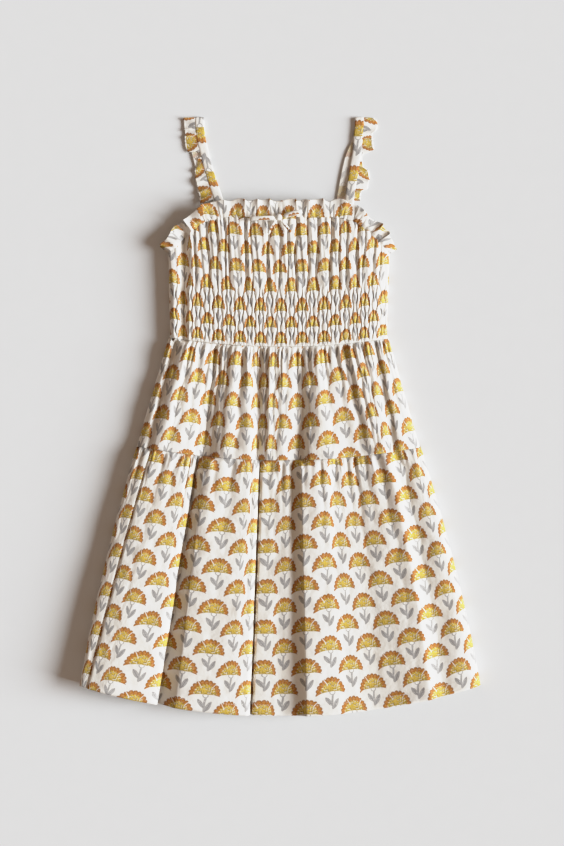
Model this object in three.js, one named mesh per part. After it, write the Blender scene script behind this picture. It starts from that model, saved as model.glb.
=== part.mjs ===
// Child's cotton sundress, laid flat on a surface with its front up.
// Millimetres. X runs across the dress, Y runs up to the straps, Z is up from the surface.
// The origin is the middle of the underside of the bounding box.
import * as THREE from "three";
import { RoundedBoxGeometry } from "three/addons/geometries/RoundedBoxGeometry.js";

// Driving sizes
const LENGTH = 620.8;
const HEM_WIDTH = 414;
const CLOTH = 1.4;
const SEAM_GAP = 0.3;
const HALF_LENGTH = LENGTH / 2;
const HALF_HEM = HEM_WIDTH / 2;

// The front lies this high over the surface where it meets the back
const FOOT = CLOTH + SEAM_GAP;

// Seams across the dress: the height of each at the middle and at the sides
const WAIST = { middle: 71, side: 80, halfWidth: 112 };
const TIER_SEAM = { middle: -46, side: -32, halfWidth: 146 };
const HEM = { middle: -HALF_LENGTH, side: -279, halfWidth: HALF_HEM };

// Folds of the skirt front, left to right: place across and height at the waist, tier seam and hem
const SKIRT_FOLDS = [
  { fold: "left foot", waistX: -114, waistZ: FOOT, seamX: -149, seamZ: FOOT, hemX: -HALF_HEM, hemZ: FOOT },
  { fold: "left crest", waistX: -112, waistZ: 8, seamX: -146, seamZ: 10, hemX: -204, hemZ: 12 },
  { fold: "left crease", waistX: -104, waistZ: 12, seamX: -136, seamZ: 14, hemX: -192, hemZ: 17 },
  { fold: "first panel", waistX: -92, waistZ: 12.5, seamX: -115, seamZ: 16, hemX: -156, hemZ: 17 },
  { fold: "first edge", waistX: -77, waistZ: 12, seamX: -93, seamZ: 13, hemX: -123, hemZ: 14 },
  { fold: "first valley", waistX: -69, waistZ: 9, seamX: -83, seamZ: 6, hemX: -115, hemZ: 5 },
  { fold: "second crease", waistX: -61, waistZ: 12, seamX: -72, seamZ: 15, hemX: -105, hemZ: 19 },
  { fold: "second panel", waistX: -44, waistZ: 13, seamX: -47, seamZ: 17, hemX: -68, hemZ: 19 },
  { fold: "second edge", waistX: -26, waistZ: 12, seamX: -26, seamZ: 14, hemX: -32, hemZ: 15 },
  { fold: "second valley", waistX: -19, waistZ: 9, seamX: -19, seamZ: 6, hemX: -25, hemZ: 5 },
  { fold: "third rise", waistX: -12, waistZ: 11, seamX: -12, seamZ: 11, hemX: -15, hemZ: 9 },
  { fold: "third panel", waistX: 8, waistZ: 13, seamX: 6, seamZ: 14, hemX: 1, hemZ: 13 },
  { fold: "third valley", waistX: 28, waistZ: 9, seamX: 19, seamZ: 7, hemX: 11, hemZ: 6 },
  { fold: "fourth crease", waistX: 37, waistZ: 12, seamX: 30, seamZ: 17, hemX: 28, hemZ: 20 },
  { fold: "fourth panel", waistX: 49, waistZ: 13, seamX: 49, seamZ: 18, hemX: 56, hemZ: 20 },
  { fold: "soft valley", waistX: 62, waistZ: 11, seamX: 71, seamZ: 12, hemX: 85, hemZ: 13 },
  { fold: "fifth rise", waistX: 72, waistZ: 12.5, seamX: 88, seamZ: 14, hemX: 114, hemZ: 17 },
  { fold: "fifth ridge", waistX: 81, waistZ: 13, seamX: 101, seamZ: 15.5, hemX: 141, hemZ: 20 },
  { fold: "fifth fall", waistX: 87, waistZ: 12, seamX: 110, seamZ: 14, hemX: 153, hemZ: 17 },
  { fold: "fifth valley", waistX: 92, waistZ: 10, seamX: 117, seamZ: 12, hemX: 164, hemZ: 12 },
  { fold: "right panel", waistX: 98, waistZ: 11.5, seamX: 126, seamZ: 13.5, hemX: 183, hemZ: 15 },
  { fold: "right side", waistX: 104, waistZ: 9, seamX: 135, seamZ: 11, hemX: 198, hemZ: 11 },
  { fold: "right crest", waistX: 108, waistZ: 6, seamX: 140, seamZ: 7, hemX: 204, hemZ: 7 },
  { fold: "right foot", waistX: 110, waistZ: FOOT, seamX: 143, seamZ: FOOT, hemX: HALF_HEM, hemZ: FOOT },
];

// Rounds of the bodice front, left to right: place across and height at the waist and at the top
const BODICE_FOLDS = [
  { fold: "left foot", waistX: -114, waistZ: FOOT, topX: -117, topZ: FOOT },
  { fold: "left crest", waistX: -112, waistZ: 7, topX: -115, topZ: 7 },
  { fold: "left strip", waistX: -107.5, waistZ: 9, topX: -110, topZ: 8 },
  { fold: "left valley", waistX: -98, waistZ: 7.5, topX: -100, topZ: 5.5 },
  { fold: "front crease", waistX: -91, waistZ: 11, topX: -90, topZ: 12 },
  { fold: "left bust", waistX: -68, waistZ: 12, topX: -68, topZ: 14 },
  { fold: "left front", waistX: -32, waistZ: 12.5, topX: -32, topZ: 14.5 },
  { fold: "middle", waistX: 0, waistZ: 12.5, topX: 2, topZ: 14.5 },
  { fold: "right front", waistX: 36, waistZ: 12.5, topX: 38, topZ: 14.5 },
  { fold: "right bust", waistX: 72, waistZ: 12, topX: 74, topZ: 14 },
  { fold: "right round", waistX: 95, waistZ: 11, topX: 98, topZ: 12 },
  { fold: "right crest", waistX: 106, waistZ: 7, topX: 109, topZ: 7.5 },
  { fold: "right foot", waistX: 110, waistZ: FOOT, topX: 113, topZ: FOOT },
];

// The gathered line at the top of the bodice, from underarm to underarm
const TOP_LINE = [
  { at: "left underarm", x: -117, y: 168 },
  { at: "left armhole", x: -104, y: 186 },
  { at: "left corner", x: -80, y: 204.2 },
  { at: "left strap", x: -79, y: 205 },
  { at: "left neck", x: -60, y: 209 },
  { at: "middle", x: 0, y: 209 },
  { at: "right neck", x: 60, y: 209 },
  { at: "right strap", x: 76, y: 205 },
  { at: "right corner", x: 77, y: 204.2 },
  { at: "right armhole", x: 100, y: 186 },
  { at: "right underarm", x: 113, y: 168 },
];

// Gathers and smocking of the bodice
const GATHERS = 26;
const GATHER_HEIGHT = 2.4;
const SMOCKING = { pleats: 2 * GATHERS, rows: 6, pitch: 9, stitched: 0.5, puffed: 2.4 };
const GATHER_ROWS = [0.12, 0.35, 0.6, 0.82, 1];

// Small gathers of the tiers just below their seams
const TIER_GATHERS = { height: 1.8, fade: 0.35 };

// Frills: waves, width at the outer edge, and how far the waves lift
const FRILL_GAP = 0.6;
const NECK_FRILL = { waves: 14, width: 15, lift: 2.2, from: "left strap", to: "right strap" };
const ARM_FRILL_LEFT = { waves: 5, width: 12, lift: 2, from: "left underarm", to: "left corner" };
const ARM_FRILL_RIGHT = { waves: 5, width: 12, lift: 2, from: "right corner", to: "right underarm" };

// Straps: the run up the front, then the run down the back beneath it
const STRAP_WIDTH = 9.5;
const STRAP_BEND = { radius: 2.4, steps: 5 };
const RUFFLE = {
  waves: 8,
  width: 13,
  lift: 2.6,
  lobes: 4,
  lobeDepth: 0.3,
  taper: 0.1,
  endReach: 0.3,
  flatFrom: 0.38,
  flatTo: 0.46,
};
const STRAP_LEFT = {
  outward: -1,
  front: [
    { x: -61, y: 209.3, z: 13.4 },
    { x: -66, y: 229, z: 9 },
    { x: -76, y: 261, z: 6.4 },
    { x: -82, y: 287, z: 5.5 },
    { x: -84, y: 305, z: 5.5 },
  ],
  back: [
    { x: -83, y: 287, z: 0.7 },
    { x: -77, y: 261, z: 0.7 },
    { x: -68, y: 233, z: 0.7 },
    { x: -62, y: 209.3, z: 0.7 },
  ],
};
const STRAP_RIGHT = {
  outward: 1,
  front: [
    { x: 69, y: 208.6, z: 13 },
    { x: 71, y: 229, z: 9 },
    { x: 75, y: 255, z: 6.4 },
    { x: 79, y: 285, z: 5.5 },
    { x: 83, y: 305, z: 5.5 },
  ],
  back: [
    { x: 79, y: 285, z: 0.7 },
    { x: 73, y: 262, z: 0.7 },
    { x: 66, y: 237, z: 0.7 },
    { x: 60, y: 209.3, z: 0.7 },
  ],
};

// Bow at the middle of the gathered line, just above the gathers
const KNOT = { x: -2.5, y: 205, across: 9, high: 9, thick: 5.2, round: 2, floor: 17.2 };
const LOOP_WIDTH = 6;
const LOOP_LEFT = [
  { x: -7.6, y: 205, z: 21.4 },
  { x: -18, y: 206, z: 22.4 },
  { x: -29, y: 205.4, z: 21.8 },
  { x: -32, y: 205, z: 20.2 },
  { x: -29, y: 204.6, z: 18.6 },
  { x: -18, y: 204.4, z: 18.2 },
  { x: -7.6, y: 204.6, z: 18.4 },
];
const LOOP_RIGHT = [
  { x: 3.4, y: 206, z: 21.4 },
  { x: 12, y: 209.5, z: 22.6 },
  { x: 21, y: 212.4, z: 22.4 },
  { x: 24, y: 213, z: 21 },
  { x: 21, y: 212, z: 19.6 },
  { x: 12, y: 209, z: 19.4 },
  { x: 3.4, y: 205.6, z: 18.6 },
];
const TAIL_WIDTH = 4;
const TAIL_LEFT = [
  { x: -6, y: 199.4, z: 18.6 },
  { x: -10, y: 194, z: 18.2 },
  { x: -13, y: 187, z: 18.1 },
];
const TAIL_RIGHT = [
  { x: 1, y: 199.4, z: 18.6 },
  { x: 6, y: 194, z: 18.2 },
  { x: 11, y: 189, z: 18.1 },
];

// Steps of the meshes
const SKIRT_STEPS = 3;
const UPPER_ROWS = 5;
const LOWER_ROWS = 8;
const BACK_COLUMNS = 24;
const BACK_ROWS = 2;
const LINING_COLUMNS = 52;
const STEPS_PER_WAVE = 4;
const STRAP_STEPS = 30;
const LOOP_STEPS = 14;
const TAIL_STEPS = 6;
const FRILL_COLUMNS = [0, 0.5, 1];
const ROW_TENSION = 0.4;
const UPRIGHT = 0.3;

const COTTON = new THREE.MeshStandardMaterial({ color: 0xefeae2, roughness: 0.85, metalness: 0 });

const lerp = THREE.MathUtils.lerp;
const clamp = THREE.MathUtils.clamp;
const vector = (point) => new THREE.Vector3(point.x, point.y, point.z);
const count = (steps) => Array.from({ length: steps + 1 }, (unused, i) => i);

// Height of a seam at a place across: an arc between its middle and its sides
function seamHeight(seam, x) {
  const share = clamp(x / seam.halfWidth, -1, 1);
  return lerp(seam.middle, seam.side, share * share);
}

// Height of the gathered line at a place across
function topHeight(x) {
  const right = TOP_LINE.findIndex((point, i) => i > 0 && x <= point.x);
  const end = TOP_LINE.at(right);
  const start = TOP_LINE.at(right < 0 ? -2 : right - 1);
  return lerp(start.y, end.y, clamp((x - start.x) / (end.x - start.x), 0, 1));
}

// Edges that the panels lie between
const hemEdge = { key: "hem", y: (x) => Math.max(seamHeight(HEM, x), -HALF_LENGTH) };
const tierEdge = { key: "seam", y: (x) => seamHeight(TIER_SEAM, x) };
const belowTierEdge = { key: "seam", y: (x) => seamHeight(TIER_SEAM, x) - SEAM_GAP };
const waistEdge = { key: "waist", y: (x) => seamHeight(WAIST, x) };
const belowWaistEdge = { key: "waist", y: (x) => seamHeight(WAIST, x) - SEAM_GAP };
const topEdge = { key: "top", y: topHeight };

// Each fold's point on an edge
function edgePoints(folds, edge) {
  return folds.map((fold) => {
    const x = fold[edge.key + "X"];
    return new THREE.Vector3(x, edge.y(x), fold[edge.key + "Z"]);
  });
}

// A row of points across a panel, above its lower edge by a length and then by a share of the rest
function foldRow(folds, lower, upper, { above = 0, share = 0 }) {
  const tops = edgePoints(folds, upper);
  return edgePoints(folds, lower).map((low, i) => {
    const high = tops[i];
    const y = lerp(low.y + above, high.y, share);
    return low.clone().lerp(high, (y - low.y) / (high.y - low.y));
  });
}

// The smooth line across through a row of fold points
const across = (row) => new THREE.CatmullRomCurve3(row, false, "catmullrom", ROW_TENSION);

// Keeps a point of the front inside the dress's outline and above the back
function keepIn(point) {
  point.x = clamp(point.x, -HALF_HEM, HALF_HEM);
  point.z = Math.max(point.z, FOOT);
  return point;
}

// The inside of a row: each point moved in by the cloth's thickness, square to the row
function inside(row) {
  return row.map((point, i) => {
    const before = row[Math.max(i - 1, 0)];
    const after = row[Math.min(i + 1, row.length - 1)];
    const along = after.clone().sub(before);
    const square = new THREE.Vector3(along.z, 0, -along.x).setLength(CLOTH);
    return keepIn(point.clone().add(square));
  });
}

// Triangles between two edges that run the same way and may have different numbers of points
function bridge(outer, inner) {
  const triangles = [];
  let i = 0;
  let j = 0;
  while (i < outer.length - 1 || j < inner.length - 1) {
    const outerNext = (i + 1) / (outer.length - 1);
    const innerNext = (j + 1) / (inner.length - 1);
    if (innerNext <= outerNext) {
      triangles.push([inner[j], inner[j + 1], outer[i]]);
      j += 1;
    } else {
      triangles.push([inner[j], outer[i + 1], outer[i]]);
      i += 1;
    }
  }
  return triangles;
}

// Triangles of a grid of rows, wound the same way as its columns and rows run
function sheet(rows) {
  const triangles = [];
  for (let r = 0; r < rows.length - 1; r += 1) {
    for (let c = 0; c < rows[r].length - 1; c += 1) {
      const [a, b] = [rows[r][c], rows[r][c + 1]];
      const [d, e] = [rows[r + 1][c], rows[r + 1][c + 1]];
      triangles.push([a, b, e], [a, e, d]);
    }
  }
  return triangles;
}

// The four edges of a grid, one after another round it
function edges(rows) {
  const last = rows.at(-1);
  return [
    rows[0],
    rows.map((row) => row.at(-1)),
    [...last].reverse(),
    rows.map((row) => row[0]).reverse(),
  ];
}

const volume = (triangles) => triangles.reduce((sum, [a, b, c]) => sum + a.dot(b.clone().cross(c)), 0);

// A closed cloth wall between an outer and an inner grid of points
function wall(outer, inner) {
  const innerEdges = edges(inner);
  const triangles = [
    ...sheet(outer),
    ...sheet(inner).map(([a, b, c]) => [a, c, b]),
    ...edges(outer).flatMap((edge, i) => bridge(edge, innerEdges[i])),
  ];
  const facing = volume(triangles) > 0 ? triangles : triangles.map(([a, b, c]) => [a, c, b]);
  const geometry = new THREE.BufferGeometry().setFromPoints(facing.flat());
  geometry.computeVertexNormals();
  return geometry;
}

// A folded skirt panel, with small gathers raised in its outside below the upper seam
function skirtPanel(lower, upper, rows) {
  const steps = SKIRT_STEPS * (SKIRT_FOLDS.length - 1);
  const plain = count(rows).map((r) => {
    const row = foldRow(SKIRT_FOLDS, lower, upper, { share: r / rows });
    return across(row).getPoints(steps).map(keepIn);
  });
  const outer = plain.map((row, r) => {
    const fade = clamp((r / rows - 1) / TIER_GATHERS.fade + 1, 0, 1);
    return row.map((point, c) => {
      const wave = Math.sin((Math.PI * (c % SKIRT_STEPS)) / SKIRT_STEPS);
      return point.clone().add(new THREE.Vector3(0, 0, TIER_GATHERS.height * fade * wave));
    });
  });
  return wall(outer, plain.map(inside));
}

// A plain back panel, flat on the surface, as wide as the front is at each edge
function backPanel(folds, lower, upper) {
  const level = (z) =>
    count(BACK_ROWS).map((r) =>
      count(BACK_COLUMNS).map((c) => {
        const [low, high] = [lower, upper].map((edge) => {
          const [left, right] = [folds[0], folds.at(-1)].map((fold) => fold[edge.key + "X"]);
          const x = lerp(left, right, c / BACK_COLUMNS);
          return new THREE.Vector3(x, edge.y(x), z);
        });
        return low.lerp(high, r / BACK_ROWS);
      }),
    );
  return wall(level(CLOTH), level(0));
}

// The raised height of the smocking: pleats stitched flat on each row and puffed out in turn between
function smockHeight(column, halfRow) {
  if (halfRow % 2 === 0) {
    return SMOCKING.stitched * (column % 2);
  }
  const turned = (column + (halfRow - 1) / 2) % 2;
  return SMOCKING.puffed * turned;
}

// The raised height of the soft gathers above the smocking
const gatherHeight = (column) => (GATHER_HEIGHT * (1 - Math.cos((Math.PI * column) / 2))) / 2;

// A row of points across the bodice front before anything is raised in it
function bodiceRow(place, columns) {
  const row = foldRow(BODICE_FOLDS, waistEdge, topEdge, place);
  return across(row).getSpacedPoints(columns).map(keepIn);
}

function bodiceFront() {
  const columns = 2 * SMOCKING.pleats;
  const smocked = SMOCKING.rows * SMOCKING.pitch;
  const halfRows = count(2 * SMOCKING.rows).map((i) => ({ above: (i * SMOCKING.pitch) / 2, halfRow: i }));
  const gatherRows = GATHER_ROWS.map((share) => ({ above: smocked, share }));
  const outer = [...halfRows, ...gatherRows].map((place) =>
    bodiceRow(place, columns).map((point, c) => {
      const atFoot = c === 0 || c === columns;
      const raised = place.share ? gatherHeight(c) : smockHeight(c, place.halfRow);
      point.z += atFoot ? 0 : raised;
      return point;
    }),
  );
  const liningPlaces = [{ share: 0 }, { above: smocked }, { above: smocked, share: 0.5 }, { share: 1 }];
  return wall(outer, liningPlaces.map((place) => inside(bodiceRow(place, LINING_COLUMNS))));
}

// Keeps a point of a ribbon on the surface and inside the dress's length
function keepDown(point) {
  point.y = Math.min(point.y, HALF_LENGTH);
  point.z = Math.max(point.z, 0);
  return point;
}

// A ribbon of cloth along a path. Its width runs sideways from one distance to another, and it waves
// away from the side that faces up where the path starts.
function ribbon({ path, steps, from, to, side = 1, lift = () => 0, reach = () => 1, widths = [0, 1] }) {
  const curve = new THREE.CatmullRomCurve3(path.map(vector), false, "centripetal");
  const points = curve.getSpacedPoints(steps);
  let sideways = new THREE.Vector3();
  const [outer, inner] = [[], []];
  points.forEach((point, i) => {
    const along = points[Math.min(i + 1, steps)].clone().sub(points[Math.max(i - 1, 0)]).normalize();
    const plan = new THREE.Vector3(-along.y, along.x, 0).multiplyScalar(side);
    if (plan.length() > UPRIGHT) {
      sideways = plan.dot(sideways) < 0 ? plan.negate().normalize() : plan.normalize();
    }
    const facing = along.clone().cross(sideways).multiplyScalar(side).normalize();
    const at = (width, level) => {
      const wave = lift(i / steps, width);
      const out = lerp(from, to, width * reach(i / steps));
      return keepDown(point.clone().addScaledVector(sideways, out).addScaledVector(facing, wave + level));
    };
    outer.push(widths.map((width) => at(width, CLOTH / 2)));
    inner.push(widths.map((width) => at(width, -CLOTH / 2)));
  });
  return wall(outer, inner);
}

// A strap's middle line: up the front, round the bend at the shoulder and down the back beneath
function strapPath({ front, back }) {
  const top = front.at(-1);
  const middle = { y: HALF_LENGTH - CLOTH / 2 - STRAP_BEND.radius, z: CLOTH / 2 + STRAP_BEND.radius };
  const bend = count(STRAP_BEND.steps).map((i) => {
    const angle = Math.PI * (0.5 - i / STRAP_BEND.steps);
    const y = middle.y + STRAP_BEND.radius * Math.cos(angle);
    return { x: top.x, y, z: middle.z + STRAP_BEND.radius * Math.sin(angle) };
  });
  return [...front, ...bend, ...back];
}

const strap = (run) =>
  ribbon({
    path: strapPath(run),
    steps: STRAP_STEPS,
    from: -STRAP_WIDTH / 2,
    to: STRAP_WIDTH / 2,
    side: -run.outward,
  });

// How far a cosine wave has risen, from 0 to 1, at a share of the way along
const waved = (waves, along) => (1 - Math.cos(2 * Math.PI * waves * along)) / 2;

// The ruffle on a strap's outer edge. It waves on the front run and lies flat from the bend on.
function strapRuffle(run) {
  const { waves, width, lift, lobes, lobeDepth, taper, endReach, flatFrom, flatTo } = RUFFLE;
  const start = STRAP_WIDTH / 2 + SEAM_GAP;
  const onFront = (along) => clamp((flatTo - along) / (flatTo - flatFrom), 0, 1);
  const tapered = (along) => clamp(Math.min(along, 1 - along) / taper, endReach, 1);
  return ribbon({
    path: strapPath({ front: run.front.slice(1), back: run.back.slice(0, -1) }),
    steps: waves * STEPS_PER_WAVE,
    from: start,
    to: start + width,
    side: -run.outward,
    widths: FRILL_COLUMNS,
    lift: (along, out) => lift * out * waved(waves, along) * onFront(along),
    reach: (along) => tapered(along) * (1 - lobeDepth * waved(lobes, along)),
  });
}

// A frill made from the points of the bodice's top row, standing out from it and waving up
function frill({ waves, width, lift, from, to }) {
  const [start, end] = [from, to].map((name) => TOP_LINE.find((point) => point.at === name).x);
  const path = bodiceRow({ share: 1 }, LINING_COLUMNS).filter(({ x }) => x > start && x < end);
  for (const point of path) {
    point.z = Math.max(point.z, FOOT + CLOTH) + SEAM_GAP + CLOTH / 2;
  }
  return ribbon({
    path,
    steps: waves * STEPS_PER_WAVE,
    from: FRILL_GAP,
    to: FRILL_GAP + width,
    widths: FRILL_COLUMNS,
    lift: (along, out) => lift * out * waved(waves, along),
  });
}

function bowKnot() {
  const knot = new RoundedBoxGeometry(KNOT.across, KNOT.high, KNOT.thick, 2, KNOT.round);
  return knot.translate(KNOT.x, KNOT.y, KNOT.floor + KNOT.thick / 2);
}

const bowRibbon = (path, width, steps) => ribbon({ path, steps, from: -width / 2, to: width / 2 });

const pieces = [
  { name: "bodice_back", geometry: backPanel(BODICE_FOLDS, waistEdge, topEdge) },
  { name: "bodice_front", geometry: bodiceFront() },
  { name: "skirt_upper_back", geometry: backPanel(SKIRT_FOLDS, tierEdge, belowWaistEdge) },
  { name: "skirt_upper_front", geometry: skirtPanel(tierEdge, belowWaistEdge, UPPER_ROWS) },
  { name: "skirt_lower_back", geometry: backPanel(SKIRT_FOLDS, hemEdge, belowTierEdge) },
  { name: "skirt_lower_front", geometry: skirtPanel(hemEdge, belowTierEdge, LOWER_ROWS) },
  { name: "neck_frill", geometry: frill(NECK_FRILL) },
  { name: "arm_frill_left", geometry: frill(ARM_FRILL_LEFT) },
  { name: "arm_frill_right", geometry: frill(ARM_FRILL_RIGHT) },
  { name: "strap_left", geometry: strap(STRAP_LEFT) },
  { name: "strap_right", geometry: strap(STRAP_RIGHT) },
  { name: "strap_ruffle_left", geometry: strapRuffle(STRAP_LEFT) },
  { name: "strap_ruffle_right", geometry: strapRuffle(STRAP_RIGHT) },
  { name: "bow_knot", geometry: bowKnot() },
  { name: "bow_loop_left", geometry: bowRibbon(LOOP_LEFT, LOOP_WIDTH, LOOP_STEPS) },
  { name: "bow_loop_right", geometry: bowRibbon(LOOP_RIGHT, LOOP_WIDTH, LOOP_STEPS) },
  { name: "bow_tail_left", geometry: bowRibbon(TAIL_LEFT, TAIL_WIDTH, TAIL_STEPS) },
  { name: "bow_tail_right", geometry: bowRibbon(TAIL_RIGHT, TAIL_WIDTH, TAIL_STEPS) },
];

const dress = new THREE.Group();
for (const { name, geometry } of pieces) {
  const piece = new THREE.Mesh(geometry, COTTON);
  piece.name = name;
  dress.add(piece);
}

export default dress;
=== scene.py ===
"""Child's printed cotton sundress with ruffled straps, laid flat on a pale floor."""

import math

import bpy
import numpy as np
from bpy.props import FloatProperty, FloatVectorProperty, IntProperty, PointerProperty
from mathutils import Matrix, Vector


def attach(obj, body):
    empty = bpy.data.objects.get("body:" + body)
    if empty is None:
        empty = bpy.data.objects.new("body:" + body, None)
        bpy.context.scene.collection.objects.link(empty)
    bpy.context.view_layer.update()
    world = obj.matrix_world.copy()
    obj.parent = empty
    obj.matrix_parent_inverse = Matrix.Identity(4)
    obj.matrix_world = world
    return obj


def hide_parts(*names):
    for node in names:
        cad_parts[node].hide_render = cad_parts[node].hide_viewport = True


bl_info = {
    "name": "Cotton Sundress",
    "version": (1, 0, 0),
    "blender": (4, 5, 0),
    "location": "3D View > Sidebar > Sundress",
    "description": "Builds a child's printed cotton sundress, laid flat, piece by piece",
    "category": "Add Mesh",
}

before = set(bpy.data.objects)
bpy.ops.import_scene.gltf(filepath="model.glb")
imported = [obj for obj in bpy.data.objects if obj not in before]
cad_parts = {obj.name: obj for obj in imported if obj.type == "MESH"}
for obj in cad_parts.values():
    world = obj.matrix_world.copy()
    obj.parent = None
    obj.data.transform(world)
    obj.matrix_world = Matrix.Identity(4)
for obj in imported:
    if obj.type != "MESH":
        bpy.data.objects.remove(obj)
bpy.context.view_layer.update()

BODY = "root"
CLOTH_MAP = "Cloth"
MM = 0.001
HALF_LENGTH = 310.4

# A height in metres that clears the whole dress
WELL_ABOVE = 0.2

# Thickness of the cloth where it lies single and double, and the spacing of its threads, in millimetres
SINGLE_CLOTH = 0.45
DOUBLE_CLOTH = 0.5
THREAD = 0.5

# Lowest heights of the front's cloth and of the straps, clear of what lies beneath
LOWEST_FRONT = 1.2
LOWEST_STRAP = 0.6

# How far below a seam the cloth is drawn in, and how far it sinks under the seam's line
SEAM_REACH = 3.2
SEAM_SINK = 0.5

# Height of each seam at the middle and at the sides, in millimetres, as in the frame
WAIST = {"middle": 71.0, "side": 80.0, "half_width": 112.0}
TIER_SEAM = {"middle": -46.0, "side": -32.0, "half_width": 146.0}
HEM = {"middle": -310.4, "side": -279.0, "half_width": 207.0}

# Lower tier, left to right: cloth across, then place and height at the tier seam and at the hem
LOWER_FOLDS = [
    (-34, -147, 1.2, -207, 1.2),
    (-28, -149, 7, -208.2, 10),
    (-21, -148, 11.5, -208, 15.6),
    (-11, -144.6, 13.8, -206.8, 18),
    (0, -139.8, 14.7, -204.4, 18.9),
    (6.5, -135.4, 14.9, -201.6, 19),
    (8.5, -134.2, 13.9, -200.6, 17.9),
    (10.5, -133.5, 13.5, -200, 17.6),
    (15, -132.4, 15.8, -198.8, 20.4),
    (17, -131.6, 16.3, -197.8, 20.9),
    (23.6, -128.6, 16.9, -194, 21.5),
    (34, -120, 17.4, -187, 22.6),
    (47, -110.5, 17.3, -179, 23),
    (71, -95, 16.2, -151, 21.4),
    (86, -90.6, 15.8, -136, 19.6),
    (91, -88.2, 14.6, -130.4, 17.6),
    (94.5, -86.6, 10, -127.8, 12.5),
    (96, -86.8, 5.2, -127.8, 5.4),
    (99, -86, 5.4, -126, 5.8),
    (107, -82.6, 10, -117.4, 12),
    (114.6, -79.2, 16.4, -108.8, 19.2),
    (115.8, -78.4, 17.2, -107.8, 19.4),
    (118, -76.6, 17.5, -105.8, 19.7),
    (141.5, -52.5, 17.2, -79.5, 20.2),
    (165, -33, 17, -54.8, 19.8),
    (189, -25.6, 15.4, -36.4, 17.6),
    (193, -23, 12.8, -33.4, 14.6),
    (196, -22, 7.5, -32, 8),
    (199, -21.4, 4, -31.4, 4),
    (202, -20.2, 8.5, -30, 8.5),
    (204.5, -18.6, 12.6, -28.2, 12.4),
    (212.5, -10, 13.2, -17.6, 13),
    (236, 6, 12.6, 1.5, 11.5),
    (245, 11.5, 10.2, 12, 12),
    (252, 15.4, 12.8, 20, 15),
    (257.4, 19.6, 17, 25.4, 18.8),
    (258.6, 20.4, 18.6, 26.4, 20.4),
    (261, 22.6, 18.8, 29, 20.6),
    (283, 42.5, 18.4, 54, 20),
    (306.5, 55, 15.8, 76, 17.2),
    (330, 68, 14.4, 97.5, 15.4),
    (353.8, 83, 14.8, 121, 17),
    (377.4, 98.5, 16, 143, 19.6),
    (388, 108, 16.6, 153.5, 20.4),
    (392, 112, 15.2, 157, 19),
    (398, 117, 12.4, 162.5, 16),
    (405, 122, 11.8, 169, 14.2),
    (424.6, 134, 13.4, 188, 15.4),
    (435, 138.5, 12.6, 197, 14.6),
    (446, 143, 8.5, 204.5, 10.5),
    (452, 144.5, 4.5, 207, 5),
    (457, 144, 1.2, 207, 1.2),
]

# Gathers of each tier, finest first: pitch, height and reach down, and the number that sets their unevenness
LOWER_GATHERS = [(8.5, 1.4, 13, 3), (19, 1.9, 44, 8), (37, 1.5, 120, 14)]
UPPER_GATHERS = [(10.5, 2.5, 22, 21), (22, 3.0, 80, 27), (41, 2.2, 230, 33)]

# Cloth from the seam above each tier to its lower edge
LOWER_LENGTH = 262
UPPER_LENGTH = 118

# The turned hem: its depth and how much it raises the cloth
HEM_DEPTH = 11
HEM_TURNING = 0.35

# How far below the seam above it the first row of the print lies on each tier
LOWER_FIRST_ROW = 28.3
UPPER_FIRST_ROW = 14.5

# How far folds of the lower tier bow out sideways half-way down, by cloth across
LOWER_BOW = [(-34, -4), (-20, -4), (10, -1.5), (30, 0), (350, 0), (385, 4), (405, 5), (457, 4.5)]

# How much higher the print lies than at the left side, by cloth across, at the tier seam and at the hem
LOWER_RISE_SEAM = [(47, 0), (212, 0), (255, 6.5), (283, 8.5), (330, 4.5), (401, 3), (457, 4)]
LOWER_RISE_HEM = [(47, 0), (94, 4), (141, 3.5), (189, 7), (259, 8), (283, 9), (330, 7.5), (457, 6)]

# Upper tier, left to right: cloth across, then place and height at the waist and at the tier seam
UPPER_FOLDS = [
    (-14, -113, 1.2, -147, 1.2),
    (-9, -116.5, 5.5, -149.5, 6),
    (-3, -116, 9, -147, 11),
    (6, -112, 11.5, -141.5, 13.5),
    (12, -109.6, 10, -138, 12),
    (15, -108.4, 8, -136, 11),
    (23.6, -104.5, 12.5, -131, 17),
    (33, -98, 13.8, -126, 17.4),
    (47, -90.5, 13.5, -118, 17),
    (70.6, -81, 12, -97, 14.5),
    (86, -71.5, 11.5, -86, 11.5),
    (94.2, -65.8, 9.5, -81, 8),
    (106, -61.5, 10.5, -74.5, 10),
    (117.8, -57.6, 12, -67.6, 15),
    (141.4, -44, 13, -56, 17),
    (165, -34.6, 12.5, -36, 17),
    (182, -28, 10, -27, 13.5),
    (193, -24, 8.5, -25, 8),
    (206, -20, 10.5, -23, 8.5),
    (212.2, -17, 11.5, -20, 11),
    (235.8, -7.3, 12.5, -11, 13.5),
    (259.4, 3.6, 12.5, 1, 14),
    (283, 16.6, 11.5, 18, 9.2),
    (293, 22.4, 10.4, 22.5, 9),
    (301, 26.6, 11.6, 27.6, 15.6),
    (306.6, 29, 12.6, 31, 17.4),
    (330.2, 41.6, 13, 49.5, 17.8),
    (353.8, 55, 11.5, 70, 13),
    (377.4, 66, 12, 91, 14),
    (401, 80, 13, 103, 16),
    (420, 86, 12, 111, 14),
    (436, 93, 10.5, 117, 11.5),
    (448.2, 98.8, 11.5, 123, 13.5),
    (464, 105, 10, 134, 11.5),
    (476, 110, 6.5, 142, 8),
    (482, 111.5, 3.5, 144, 4),
    (487, 110, 1.2, 144, 1.2),
]

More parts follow.
